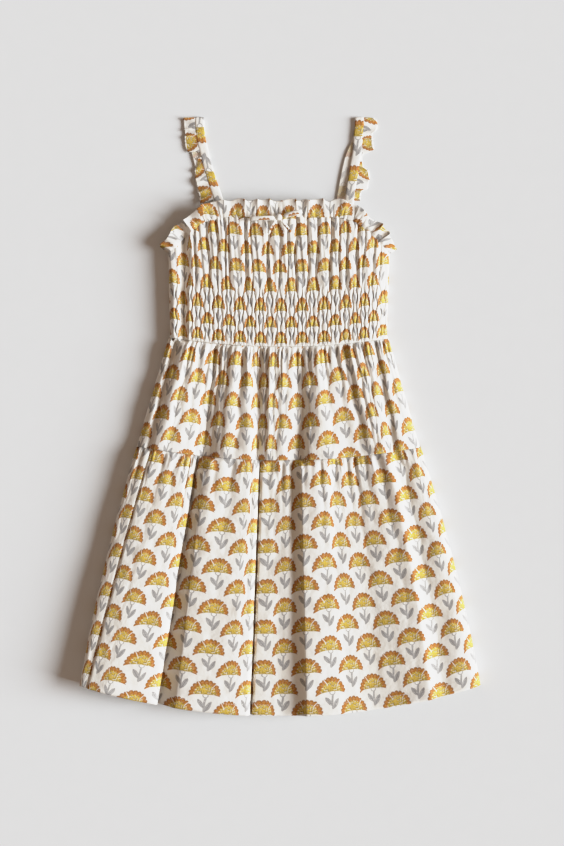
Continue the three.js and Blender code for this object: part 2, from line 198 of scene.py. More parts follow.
# Bodice, left to right: cloth across, then place and height at the waist and at the gathered line
BODICE_FOLDS = [
    (-45, -113, 1.2, -116, 1.2),
    (-38, -114.5, 5.5, -117, 6),
    (-32, -113.4, 10, -116, 10.5),
    (-23.6, -109.7, 12, -111, 12.6),
    (-14, -106, 11.5, -107, 12),
    (-6, -103, 7.5, -103.5, 7),
    (4, -99.5, 7, -99.5, 6.5),
    (14, -97, 9, -97, 9.5),
    (24, -95, 11.5, -94, 12.6),
    (47, -86.3, 11.5, -86, 13),
    (94.2, -64.5, 12, -64.5, 14),
    (141.4, -42, 12.5, -42, 14.5),
    (188.6, -21.3, 12.5, -21, 14.5),
    (235.8, 0, 12.5, 0, 14.5),
    (283, 21.8, 12.5, 22, 14.5),
    (330.2, 44.7, 12.5, 45, 14.5),
    (377.4, 67, 12, 68, 14),
    (424.6, 85.8, 11.5, 88, 13),
    (455, 98, 10, 101, 10.5),
    (471.8, 105, 7, 108, 7.5),
    (479, 109, 4.5, 112, 4.5),
    (485, 110, 1.2, 113, 1.2),
]

# The same with the gathered line first, as the tiers' tables have their upper seam
BODICE_FOLDS_FROM_TOP = [(u, tx, tz, wx, wz) for u, wx, wz, tx, tz in BODICE_FOLDS]

# Smocking: pleats from side to side, how high they stand and how far they lean from row to row
PLEAT_PITCH = 4.35
PLEAT_HEIGHT = 2.2
PLEAT_LEAN = 0.24

# The gathered line at the top of the bodice, from underarm to underarm
TOP_LINE = [(-117, 168), (-104, 186), (-80, 204.2), (-60, 209), (0, 209), (60, 209), (77, 204.2),
            (100, 186), (113, 168)]

# Deep grooves between the gathers above the smocking: place across, half width and depth
GROOVES = [
    (-95.5, 2.6, 3.4), (-88.4, 1.5, 1.8), (-75, 2.0, 3.0), (-65.5, 1.6, 2.2), (-57.2, 1.4, 2.6),
    (-53, 1.2, 1.6), (-36.4, 2.0, 3.4), (-30.2, 1.3, 1.6), (-13.5, 1.9, 3.0), (-2, 1.6, 2.4),
    (7, 1.3, 1.8), (15, 1.8, 3.2), (27, 1.5, 2.2), (36.5, 1.9, 3.1), (50, 2.0, 3.2),
    (59, 1.3, 1.8), (66.5, 1.7, 2.7), (77.5, 2.0, 3.1), (84, 1.3, 1.8), (94.5, 1.7, 2.4),
    (102, 1.3, 1.8),
]

# Cloth hidden in a groove, against its depth
HIDDEN_IN_GROOVE = 2.6

# Height above the waist, and how far up the print it is
BODICE_PRINT = [(-2, -14), (11.2, 2), (26.5, 23.2), (44.6, 44.4), (66.2, 65.6), (85, 86.8), (103.8, 108),
                (122.6, 129.2), (139.3, 150.4), (160, 176)]

# How far the neck gathers draw the cloth aside above the smocking, by place across
BODICE_DRAWN = [(-115, 6), (-95, 10), (-60, 13), (-25, 10), (0, 10), (16, 5), (36, 1), (110, 3)]

# Middle line of each strap in front, from the bodice to the shoulder
STRAP_LEFT = [(-61, 209.5, 12.4), (-65.5, 226, 5.4), (-71.2, 243, 3.2), (-76.6, 260.5, 2.6),
              (-80.6, 277, 2.4), (-83.2, 289, 2.3), (-84.6, 303, 2.4)]
STRAP_RIGHT = [(69, 208.6, 12), (71, 223, 5.8), (72.6, 236.6, 3.5), (75.1, 250, 2.8), (76.4, 260.5, 2.5),
               (79, 274.5, 2.4), (80, 289.6, 2.3), (81.4, 303, 2.4)]
STRAP_LEFT_BACK = [(-83.4, 289, 0.7), (-78, 263, 0.7), (-70, 237, 0.7), (-63, 211, 0.7)]
STRAP_RIGHT_BACK = [(79, 289, 0.7), (71.5, 270, 0.7), (66, 246, 0.7), (60, 211, 0.7)]

# Where the straps turn over at the shoulder
SHOULDER_BEND = {"y": HALF_LENGTH - 1.5, "z": 1.55, "radius": 0.85}

# How far each strap's ruffle reaches out, by height up the dress, and how far it reaches beneath
RUFFLE_LEFT = [(212, 13), (220, 16), (230, 15.5), (243, 14), (250, 13), (258.4, 11.2), (270, 4),
               (274.5, 3), (277, 10.6), (284, 15), (297, 13), (309, 14)]
RUFFLE_RIGHT = [(212, 12), (216, 13.5), (220, 9), (227.8, 7.7), (236.6, 9.3), (239.9, 14), (247.3, 14),
                (254.3, 12.7), (258.4, 7.2), (270.4, 3), (277, 14), (292.8, 11.4), (302, 15.5), (309, 13)]
RUFFLE_BENEATH = 9

# The two straps: way out from the neck, middle lines, ruffle, where the print starts, and what sets the waves
STRAPS = [
    {"side": "left", "outward": -1, "front": STRAP_LEFT, "back": STRAP_LEFT_BACK, "reach": RUFFLE_LEFT,
     "first_row": 40, "seed": 2},
    {"side": "right", "outward": 1, "front": STRAP_RIGHT, "back": STRAP_RIGHT_BACK, "reach": RUFFLE_RIGHT,
     "first_row": 44, "seed": 5},
]

# Bow: middle lines of its loops and tails
LOOP_LEFT = [(-7.4, 203.6, 21.2), (-18, 203.2, 22.2), (-29, 202.6, 21.6), (-32, 202.4, 20.2),
             (-29, 202.2, 18.8), (-18, 202.6, 18.4), (-7.4, 203.4, 18.6)]
LOOP_RIGHT = [(3.2, 205, 21.2), (10.5, 207.6, 22.4), (18, 209.4, 22.2), (21, 210, 21), (18, 209, 19.8),
              (10.5, 207, 19.4), (3.2, 205, 18.8)]
TAIL_LEFT = [(-6, 200.6, 18.8), (-10, 194.6, 18.6), (-13, 187, 18.5)]
TAIL_RIGHT = [(1, 200.6, 18.8), (5, 195.4, 18.6), (8, 191.6, 18.5)]

# The bow's tapes: piece, node, middle line and width
BOW_TAPES = [
    ("bow_left_loop", "bow_loop_left", LOOP_LEFT, 4.2),
    ("bow_right_loop", "bow_loop_right", LOOP_RIGHT, 4.2),
    ("bow_left_tail", "bow_tail_left", TAIL_LEFT, 3.0),
    ("bow_right_tail", "bow_tail_right", TAIL_RIGHT, 3.0),
]
TAPE_HALF_THICKNESS = 0.9

# Where the print falls on the tape: how far along the first flower is, and the height up the repeat
TAPE_FLOWER = 10.0
TAPE_ROW = 8.2

# The print repeats in a half drop, and starts one column in from the left fold of the front
REPEAT_ACROSS = 47.2
REPEAT_DOWN = 42.4
FIRST_COLUMN = 47


def linear(red, green, blue):
    """A display colour of 0 to 255 as the linear colour that Blender keeps."""
    def one(value):
        value /= 255
        return value / 12.92 if value <= 0.04045 else ((value + 0.055) / 1.055) ** 2.4
    return (one(red), one(green), one(blue))


def smooth(knots, values, at):
    """The smooth line through the knots' values, read at places between them, without overshoot."""
    knots = np.asarray(knots, float)
    values = np.asarray(values, float)
    step = np.diff(knots)
    slope = np.diff(values) / step
    bend = np.zeros(len(knots))
    bend[0], bend[-1] = slope[0], slope[-1]
    before, after = slope[:-1], slope[1:]
    same = before * after > 0
    bend[1:-1][same] = 2 * before[same] * after[same] / (before[same] + after[same])
    i = np.clip(np.searchsorted(knots, at, side="right") - 1, 0, len(step) - 1)
    t = np.clip((at - knots[i]) / step[i], 0, 1)
    rest = 1 - t
    return (
        (1 + 2 * t) * rest ** 2 * values[i]
        + t * rest ** 2 * step[i] * bend[i]
        + t ** 2 * (3 - 2 * t) * values[i + 1]
        - t ** 2 * rest * step[i] * bend[i + 1]
    )


def along(table, at):
    """Value of a table of places and values, straight between its rows."""
    places, values = zip(*table)
    return np.interp(at, places, values)


def ease(value, start, end):
    """0 before start, 1 after end and a soft rise between."""
    t = np.clip((value - start) / (end - start), 0, 1)
    return t * t * (3 - 2 * t)


def wander(at, length, seed):
    """A slow uneven wave between about -1 and 1, the same each run."""
    phase = 2.399 * seed
    turn = 2 * math.pi * at / length
    return (np.sin(turn + phase) + 0.6 * np.sin(1.618 * turn + 2.1 * phase)
            + 0.4 * np.sin(2.414 * turn + 3.7 * phase)) / 2


def seam_height(seam, x):
    """Height up the dress of a seam at a place across."""
    share = np.clip(x / seam["half_width"], -1, 1)
    return seam["middle"] + (seam["side"] - seam["middle"]) * share ** 2


def seam_line(seam, above=0.0):
    """A line a little above or below a seam, as a function of the place across."""
    return lambda x: seam_height(seam, x) + above


def top_height(x):
    """Height up the dress of the gathered line at a place across."""
    return along(TOP_LINE, x)


def normals(points):
    """Unit normals of a grid of points."""
    square = np.cross(np.gradient(points, axis=1), np.gradient(points, axis=0))
    return square / np.maximum(np.linalg.norm(square, axis=2, keepdims=True), 1e-9)


def gathers(cloth, down, pitch, height, reach, seed):
    """Rounded tubes of cloth between narrow valleys, which die out down from a seam."""
    place = cloth / pitch + 0.4 * wander(cloth, 6.3 * pitch, seed) + 0.12 * wander(down, 60, seed + 5)
    tubes = np.abs(np.sin(np.pi * place)) ** 0.75 - 0.62
    size = 1 + 0.55 * wander(cloth, 4.1 * pitch, seed + 1)
    far = reach * (1 + 0.5 * wander(cloth, 3.3 * pitch, seed + 2))
    return height * size * tubes * np.exp(-(down / far) ** 1.3)


def grid_faces(rows, columns):
    """Quads of a grid of points that are kept row by row."""
    first = np.arange(rows - 1)[:, None] * columns + np.arange(columns - 1)[None, :]
    return np.stack([first, first + 1, first + columns + 1, first + columns], axis=-1).reshape(-1, 4)


def ring_faces(rings, turns, turned=False):
    """Quads between closed rings of points that are kept ring by ring."""
    faces = []
    for i in range(rings - 1):
        for j in range(turns):
            k = (j + 1) % turns
            quad = (i * turns + j, i * turns + k, (i + 1) * turns + k, (i + 1) * turns + j)
            faces.append((quad[0], *quad[:0:-1]) if turned else quad)
    return faces


def add_object(name, content):
    """A new object in the scene for a mesh, a light or a camera."""
    piece = bpy.data.objects.new(name, content)
    bpy.context.scene.collection.objects.link(piece)
    return piece


def smooth_mesh(name, spots, faces, materials):
    """A smooth-shaded mesh of points given in millimetres."""
    mesh = bpy.data.meshes.new(name)
    mesh.from_pydata((spots * MM).tolist(), [], faces)
    mesh.polygons.foreach_set("use_smooth", np.ones(len(faces), bool))
    for material in materials:
        mesh.materials.append(material)
    return mesh


def map_cloth(mesh, prints):
    """Keeps each point's place on the flat cloth, in millimetres, as the map that the print follows."""
    corners = np.zeros(len(mesh.loops), np.int32)
    mesh.loops.foreach_get("vertex_index", corners)
    layer = mesh.uv_layers.new(name=CLOTH_MAP)
    layer.data.foreach_set("uv", (prints[corners] * MM).ravel())


def cloth_piece(name, points, prints, thickness, materials, turned=False):
    """A closed thin shell of cloth: its right side on the given points and its wrong side beneath.

    Points are in millimetres in a grid, prints the cloth's own coordinates in millimetres."""
    rows, columns = points.shape[:2]
    under = points - normals(points) * (-1 if turned else 1) * thickness
    under[..., 2] = np.maximum(under[..., 2], 0.0)
    count = rows * columns
    right = grid_faces(rows, columns)
    wrong = right[:, ::-1] + count
    ring = np.concatenate([
        np.arange(columns),
        np.arange(1, rows) * columns + columns - 1,
        (rows - 1) * columns + np.arange(columns - 2, -1, -1),
        np.arange(rows - 2, 0, -1) * columns,
    ])
    following = np.roll(ring, -1)
    rim = np.stack([ring, ring + count, following + count, following], axis=-1)
    faces = np.concatenate([right, wrong, rim])
    if turned:
        faces = faces[:, ::-1]
    spots = np.concatenate([points.reshape(-1, 3), under.reshape(-1, 3)])
    mesh = smooth_mesh(name, spots, faces.tolist(), materials)
    map_cloth(mesh, np.concatenate([prints.reshape(-1, 2)] * 2))
    sides = np.zeros(len(faces), np.int32)
    sides[len(right):len(right) + len(wrong)] = len(materials) - 1
    mesh.polygons.foreach_set("material_index", sides)
    mesh.validate()
    mesh.update()
    return add_object(name, mesh)


def sew_on(piece, *nodes):
    """Puts a piece in the frame: what it rides on and the nodes that it stands for."""
    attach(piece, BODY)
    if nodes:
        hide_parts(*nodes)
    return piece


def settle(piece, node):
    """Puts a cloth piece in the frame."""
    sew_on(piece, node)
    return piece


def fold_grid(folds, lower, upper, columns, rows, bow=None):
    """Points between two seams, row by row from the lower seam up, along folds that run between them.

    Returns the points and the cloth across, and each row's share of the way up."""
    table = np.array(folds, float)
    finer = np.concatenate([[0], np.cumsum(np.diff(table[:, 0]) ** 0.6)])
    cloth = np.interp(np.linspace(0, finer[-1], columns), finer, table[:, 0])
    upper_x, upper_z, lower_x, lower_z = [smooth(table[:, 0], table[:, i], cloth) for i in range(1, 5)]
    share = np.linspace(0, 1, rows)[:, None]
    low = np.stack([lower_x, lower(lower_x), lower_z], axis=-1)[None]
    high = np.stack([upper_x, upper(upper_x), upper_z], axis=-1)[None]
    points = low + (high - low) * share[..., None]
    if bow:
        points[..., 0] += 4 * share * (1 - share) * along(bow, cloth)
    return points, np.broadcast_to(cloth, (rows, columns)), np.broadcast_to(share, (rows, columns))


def sewn_to(points, down, folds, at_waist):
    """Draws the top edge of a tier in to the height of the cloth above it, along their seam."""
    first = 1 if at_waist else 3
    line = sorted((row[first], row[first + 1]) for row in folds)
    seam_z = along(line, points[..., 0])
    near = np.exp(-(down / SEAM_REACH) ** 2)
    points[..., 2] += (seam_z - SEAM_SINK - points[..., 2]) * near
    return points


def side_fade(cloth, width=16):
    """0 at both side folds of a panel and 1 away from them."""
    return ease(cloth - cloth.min(), 0, width) * ease(cloth.max() - cloth, 0, width)


def raise_cloth(points, height):
    """Moves each point out along its own normal, keeping the front above the back."""
    moved = points + normals(points) * height[..., None]
    moved[..., 2] = np.maximum(moved[..., 2], LOWEST_FRONT)
    return moved


# Materials

class Field:
    """A number in a node tree. Plain arithmetic on it adds Math nodes."""

    def __init__(self, tree, socket):
        self.tree = tree
        self.socket = socket

    def _node(self, operation, *values):
        node = self.tree.nodes.new("ShaderNodeMath")
        node.operation = operation
        for slot, value in zip(node.inputs, values):
            if isinstance(value, Field):
                self.tree.links.new(value.socket, slot)
            else:
                slot.default_value = value
        return Field(self.tree, node.outputs[0])

    def __add__(self, other):
        return self._node("ADD", self, other)

    __radd__ = __add__

    def __mul__(self, other):
        return self._node("MULTIPLY", self, other)

    __rmul__ = __mul__

    def __sub__(self, other):
        return self._node("SUBTRACT", self, other)

    def __rsub__(self, other):
        return self._node("SUBTRACT", other, self)

    def __truediv__(self, other):
        return self._node("DIVIDE", self, other)

    def __pow__(self, other):
        return self._node("POWER", self, other)

    def __abs__(self):
        return self._node("ABSOLUTE", self)

    def sine(self):
        return self._node("SINE", self)

    def root(self):
        return self._node("SQRT", self)

    def least(self, other):
        return self._node("MINIMUM", self, other)

    def most(self, other):
        return self._node("MAXIMUM", self, other)

    def angle(self, across):
        return self._node("ARCTAN2", self, across)

    def wrapped(self, length):
        return self._node("FLOORED_MODULO", self, length)

    def rise(self, start, end):
        """0 at start, 1 at end, and clamped outside them."""
        node = self.tree.nodes.new("ShaderNodeMapRange")
        set_inputs(node, {"From Min": start, "From Max": end})
        self.tree.links.new(self.socket, node.inputs["Value"])
        return Field(self.tree, node.outputs["Result"])


def length_of(across, up):
    """Distance from the origin of two fields."""
    return (across * across + up * up).root()


def set_inputs(node, values):
    """Sets inputs of a node to plain values, by name."""
    for name, value in values.items():
        node.inputs[name].default_value = value


def mixed(tree, share, first, second):
    """One colour turning into another by a field. Each is a socket or a plain linear colour."""
    node = tree.nodes.new("ShaderNodeMix")
    node.data_type = "RGBA"
    tree.links.new(share.socket, node.inputs[0])
    for slot, value in ((node.inputs[6], first), (node.inputs[7], second)):
        if isinstance(value, bpy.types.NodeSocket):
            tree.links.new(value, slot)
        else:
            slot.default_value = (*value, 1)
    return node.outputs[2]


def noise(tree, vector, scale, detail=2):
    """A cloudy field over a vector."""
    node = tree.nodes.new("ShaderNodeTexNoise")
    set_inputs(node, {"Scale": scale, "Detail": detail})
    tree.links.new(vector, node.inputs["Vector"])
    return Field(tree, node.outputs["Fac"])


def combined(tree, across, up):
    """Two fields as one vector."""
    node = tree.nodes.new("ShaderNodeCombineXYZ")
    tree.links.new(across.socket, node.inputs[0])
    tree.links.new(up.socket, node.inputs[1])
    return node.outputs[0]


def bumped(tree, height, strength, distance, over=None):
    """Normals bumped by a height field, over other bumped normals where they are given."""
    node = tree.nodes.new("ShaderNodeBump")
    set_inputs(node, {"Strength": strength, "Distance": distance})
    tree.links.new(height.socket, node.inputs["Height"])
    if over:
        tree.links.new(over, node.inputs["Normal"])
    return node.outputs[0]


def new_material(name, inputs):
    """A new material with these inputs set, and its tree and shader."""
    material = bpy.data.materials.new(name)
    material.use_nodes = True
    shader = material.node_tree.nodes["Principled BSDF"]
    set_inputs(shader, inputs)
    return material, material.node_tree, shader


# The printed flower, in millimetres from the middle of its head
HUB = -7.1
PETALS_IN_HALF_TURN = 10.8
HEAD_RADIUS = 12.8
HEAD_SQUASH = 0.93
SCALLOP = 1.7
LEFT_REACH = 1.3
LEFT_DROOP = 3.2
RIGHT_DROOP = 2.0
BAND_RADIUS = 9.1
SLITS = (math.radians(122), math.radians(52))
SLIT_HALF_WIDTH = 0.28
STEM = {"top": -10, "foot": -25, "half_width": 1.05}
LEAVES = [{"base": (-0.4, -21.2), "tip": (-7.0, -12.0)}, {"base": (0.4, -24.4), "tip": (6.2, -13.8)}]
LEAF_HALF_WIDTH = 2.35

# Room below a head for its stem, and how far the print wanders on the cloth
STEM_ROOM = 30.0
PRINT_WANDER = 1.2

# The two sides of the cloth, and how strongly the print shows on each
COTTON_SIDES = (("cotton_right_side", 1.0), ("cotton_wrong_side", 0.5))


def leaf_mask(across, up, leaf):
    """A pointed leaf between its base and its tip, and how near a point is to its middle vein."""
    (base_x, base_y), (tip_x, tip_y) = leaf["base"], leaf["tip"]
    size = math.hypot(tip_x - base_x, tip_y - base_y)
    way_x, way_y = (tip_x - base_x) / size, (tip_y - base_y) / size
    x = across - base_x
    y = up - base_y
    share = ((x * way_x + y * way_y) / size).least(1.0).most(0.0)
    off = abs(x * way_y - y * way_x)
    width = (share * (1.0 - share) * 4.0) ** 0.65 * LEAF_HALF_WIDTH
    return (width - off).rise(-0.1, 0.35), (0.45 - off).rise(-0.15, 0.15)


def flower_motif(colours):
    """Node group of one printed flower: its ink colour and where it covers the cloth."""
    tree = bpy.data.node_groups.new("flower_motif", "ShaderNodeTree")
    for name in ("Across", "Up"):
        tree.interface.new_socket(name=name, in_out="INPUT", socket_type="NodeSocketFloat")
    tree.interface.new_socket(name="Ink", in_out="OUTPUT", socket_type="NodeSocketColor")
    tree.interface.new_socket(name="Cover", in_out="OUTPUT", socket_type="NodeSocketFloat")
    given = tree.nodes.new("NodeGroupInput")
    across = Field(tree, given.outputs["Across"])
    up = Field(tree, given.outputs["Up"])
    place = combined(tree, across, up)

    from_hub = up - HUB
    radius = length_of(across, from_hub * HEAD_SQUASH)
    angle = (from_hub.angle(across) + math.pi / 2).wrapped(2 * math.pi) - math.pi / 2
    petals = abs((angle * PETALS_IN_HALF_TURN + 0.35).sine())
    reach = (angle / math.pi).most(0.0) ** 3.0 * LEFT_REACH
    edge = petals ** 0.5 * SCALLOP + reach + HEAD_RADIUS
    aside = (across / -14.5).most(0.0)
    beside = (across / 14.0).most(0.0)
    lower_edge = 0.3 - aside * aside * aside * LEFT_DROOP - beside * beside * beside * RIGHT_DROOP
    inside = (edge - radius).rise(-0.35, 0.35)
    head = inside * (from_hub - lower_edge).rise(-0.3, 0.3)
    first_slit, second_slit = [
        (SLIT_HALF_WIDTH - abs(angle - slit) * radius).rise(-0.16, 0.16) * (radius - 7.0).rise(0.0, 2.0)
        for slit in SLITS]
    head = head * (1.0 - first_slit.most(second_slit))

    band = (radius - (petals * 1.1 + reach + BAND_RADIUS)).rise(-0.6, 0.6)
    outline = (radius - (edge - 1.2)).rise(-0.6, 0.6)
    between = (1.0 - petals) ** 3.0
    dark_edge = outline.most(between) * 0.8
    orange = mixed(tree, dark_edge, colours.petal_orange, colours.petal_edge)
    speckles = noise(tree, place, 0.62, 1).rise(0.5, 0.6)
    pale = noise(tree, place, 0.5, 0).rise(0.56, 0.64)
    streaks = (0.3 - abs((angle * 17.0).sine())).rise(-0.1, 0.2) * (radius - 2.5).rise(0.0, 1.0)
    yellow = mixed(tree, pale * 0.75, colours.petal_yellow, colours.cloth)
    yellow = mixed(tree, (speckles * 0.85).most(streaks * 0.4), yellow, colours.petal_speckle)
    near_cup = (3.4 - from_hub + lower_edge).rise(0.0, 2.5) * 0.4
    yellow = mixed(tree, near_cup, yellow, colours.petal_speckle)
    head_ink = mixed(tree, band, yellow, orange)

    cup = length_of(across / 3.1, (from_hub + 0.7) / 2.5)
    cup_cover = (1.0 - cup).rise(-0.1, 0.1) * (0.4 - from_hub).rise(-0.3, 0.3)
    cup_line = (cup - 0.66).rise(-0.1, 0.12)
    stem_x = across + (up * 0.24).sine() * 0.5
    stem = (STEM["half_width"] - abs(stem_x)).rise(-0.35, 0.35)
    stem = stem * (STEM["top"] - up).rise(-0.3, 0.3) * (up - STEM["foot"]).rise(-0.3, 0.3)
    (left_leaf, left_vein), (right_leaf, right_vein) = [leaf_mask(across, up, leaf) for leaf in LEAVES]
    vein = (left_vein * left_leaf).most(right_vein * right_leaf)
    cup_ink = mixed(tree, cup_line * 0.9, colours.cloth, colours.leaf_vein)
    patchy = noise(tree, place, 0.7, 1).rise(0.35, 0.65)
    leaf_ink = mixed(tree, vein.most(patchy * 0.7), colours.leaf_grey, colours.leaf_vein)
    greens = left_leaf.most(right_leaf).most(stem)
    plant_ink = mixed(tree, cup_cover, leaf_ink, cup_ink)
    plant_cover = greens.most(cup_cover)

    ink = mixed(tree, head, plant_ink, head_ink)
    cover = head.most(plant_cover)
    result = tree.nodes.new("NodeGroupOutput")
    tree.links.new(ink, result.inputs["Ink"])
    tree.links.new(cover.socket, result.inputs["Cover"])
    return tree


def printed_cotton(name, colours, strength):
    """Plain-woven cotton with a block-printed half-drop repeat of flowers, read from the cloth's own map."""
    material, tree, shader = new_material(name, {
        "Roughness": 0.86, "Specular IOR Level": 0.25, "Sheen Weight": 0.12, "Sheen Roughness": 0.5})
    cloth_map = tree.nodes.new("ShaderNodeUVMap")
    cloth_map.uv_map = CLOTH_MAP
    apart = tree.nodes.new("ShaderNodeSeparateXYZ")
    tree.links.new(cloth_map.outputs[0], apart.inputs[0])
    across = Field(tree, apart.outputs[0]) * (1 / MM)
    up = Field(tree, apart.outputs[1]) * (1 / MM)
    place = combined(tree, across, up)
    wobble = noise(tree, place, 0.16, 1) - 0.5
    sway = noise(tree, place, 0.11, 1) - 0.5
    printed_x = across + wobble * PRINT_WANDER
    printed_y = up + sway * PRINT_WANDER

    group = bpy.data.node_groups.get("flower_motif") or flower_motif(colours)
    base_tone = noise(tree, place, 0.02, 2).rise(0.3, 0.7)
    colour = mixed(tree, base_tone, colours.cloth, colours.cloth_shade)
    worn = noise(tree, place, 0.55, 2).rise(0.72, 0.42) * (0.16 * strength) + 0.84 * strength
    for shift_x, shift_y in ((0.0, 0.0), (REPEAT_ACROSS / 2, REPEAT_DOWN / 2)):
        local_x = (printed_x - shift_x + REPEAT_ACROSS / 2).wrapped(REPEAT_ACROSS) - REPEAT_ACROSS / 2
        local_y = (printed_y - shift_y + STEM_ROOM).wrapped(REPEAT_DOWN) - STEM_ROOM
        flower = tree.nodes.new("ShaderNodeGroup")
        flower.node_tree = group
        tree.links.new(local_x.socket, flower.inputs["Across"])
        tree.links.new(local_y.socket, flower.inputs["Up"])
        cover = Field(tree, flower.outputs["Cover"]) * worn
        colour = mixed(tree, cover, colour, flower.outputs["Ink"])
    tree.links.new(colour, shader.inputs["Base Color"])

    turns = 2 * math.pi / THREAD
    slubs = noise(tree, place, 0.9, 3)
    weave = (across * turns).sine() * (up * turns).sine() * 0.25 + slubs * 0.8
    woven = bumped(tree, weave, 0.35, 0.00012)
    crinkled = bumped(tree, noise(tree, place, 0.07, 3), 0.5, 0.0022, woven)
    tree.links.new(crinkled, shader.inputs["Normal"])
    return material


def cottons():
    """The right side and the paler wrong side of the printed cloth."""
    colours = bpy.context.scene.dress_colours
    return [bpy.data.materials.get(name) or printed_cotton(name, colours, strength)
            for name, strength in COTTON_SIDES]


def plain_cotton(name, colour):
    """Plain thread or tape: matt cotton with a fine twist."""
    material, tree, shader = new_material(name, {
        "Roughness": 0.8, "Specular IOR Level": 0.25, "Sheen Weight": 0.15})
    spot = tree.nodes.new("ShaderNodeTexCoord").outputs["Object"]
    tone = noise(tree, spot, 900, 2).rise(0.3, 0.7)
    shade = tuple(0.86 * value for value in colour)
    tree.links.new(mixed(tree, tone, tuple(colour), shade), shader.inputs["Base Color"])
    tree.links.new(bumped(tree, noise(tree, spot, 2500, 2), 0.3, 0.0001), shader.inputs["Normal"])
    return material


# Cloth pieces

def below_seam(down):
    """How much gathers show near the seam above them, where the stitches hold them flat."""
    return 0.12 + 0.88 * ease(down, 0, 6)


def lower_front():
    """The lower tier's front, with its folds, its gathers under the seam and its plain hem."""
    sizes = bpy.context.scene.dress_sizes
    points, cloth, share = fold_grid(
        LOWER_FOLDS, seam_line(HEM), seam_line(TIER_SEAM, 0.8), columns=390, rows=112, bow=LOWER_BOW)
    down = (1 - share) * LOWER_LENGTH
    height = sum(gathers(cloth, down, *row) for row in LOWER_GATHERS)
    height += 0.9 * wander(cloth + 0.25 * down, 95, 5) * wander(down, 210, 6)
    height += 0.35 * wander(cloth - 0.4 * down, 31, 9) * wander(down + 0.3 * cloth, 57, 11)
    height *= side_fade(cloth) * sizes.gather_depth * below_seam(down)
    points = sewn_to(raise_cloth(points, height), down, UPPER_FOLDS, False)
    points[..., 2] -= 0.5 * np.exp(-(down / 1.6) ** 2)
    points[..., 1] = np.maximum(points[..., 1], -HALF_LENGTH)
    points[..., 2] += HEM_TURNING * ease(down, LOWER_LENGTH - HEM_DEPTH - 2, LOWER_LENGTH - HEM_DEPTH)
    rise = along(LOWER_RISE_HEM, cloth) * (1 - share) + along(LOWER_RISE_SEAM, cloth) * share
    prints = np.stack([cloth - FIRST_COLUMN, LOWER_FIRST_ROW - down - rise], axis=-1)
    piece = cloth_piece("lower_tier_front", points, prints, sizes.cloth_thickness / MM, cottons())
    return settle(piece, "skirt_lower_front")


def upper_front():
    """The upper tier's front, gathered into the waist, with its lower edge over the seam of the tiers."""
    sizes = bpy.context.scene.dress_sizes
    points, cloth, share = fold_grid(
        UPPER_FOLDS, seam_line(TIER_SEAM, -0.4), seam_line(WAIST, 0.8), columns=360, rows=70)
    down = (1 - share) * UPPER_LENGTH
    height = sum(gathers(cloth, down, *row) for row in UPPER_GATHERS)
    height += 0.6 * wander(cloth + 0.2 * down, 70, 15) * wander(down, 130, 16)
    height *= side_fade(cloth) * sizes.gather_depth * below_seam(down)
    height *= 1 - 0.8 * ease(down, UPPER_LENGTH - 14, UPPER_LENGTH)
    points = sewn_to(raise_cloth(points, height), down, BODICE_FOLDS, True)
    over_seam = np.exp(-((down - UPPER_LENGTH + 2.5) / 2.2) ** 2)
    points[..., 2] += 0.5 * over_seam - 0.3 * np.exp(-(down / 1.6) ** 2)
    rise_right = 6 * ease(points[..., 0], 10, 90)
    prints = np.stack([cloth - FIRST_COLUMN, -(down + rise_right - UPPER_FIRST_ROW)], axis=-1)
    piece = cloth_piece("upper_tier_front", points, prints, sizes.cloth_thickness / MM, cottons())
    return settle(piece, "skirt_upper_front")


def bodice_cloth(x, cloth, above, in_smocking):
    """Cloth across the bodice: even in the smocking, and partly hidden in each groove above it."""
    hidden = np.zeros_like(x)
    for place, width, depth in GROOVES:
        hidden += HIDDEN_IN_GROOVE * depth * ease(x, place - 1.3 * width, place + 1.3 * width)
    level = (x - x.min()) / (x.max() - x.min()) * hidden.max()
    drawn = along(BODICE_DRAWN, x) * (0.8 + 0.7 * ease(above, 60, 125))
    return cloth + (hidden - level + drawn) * (1 - in_smocking)


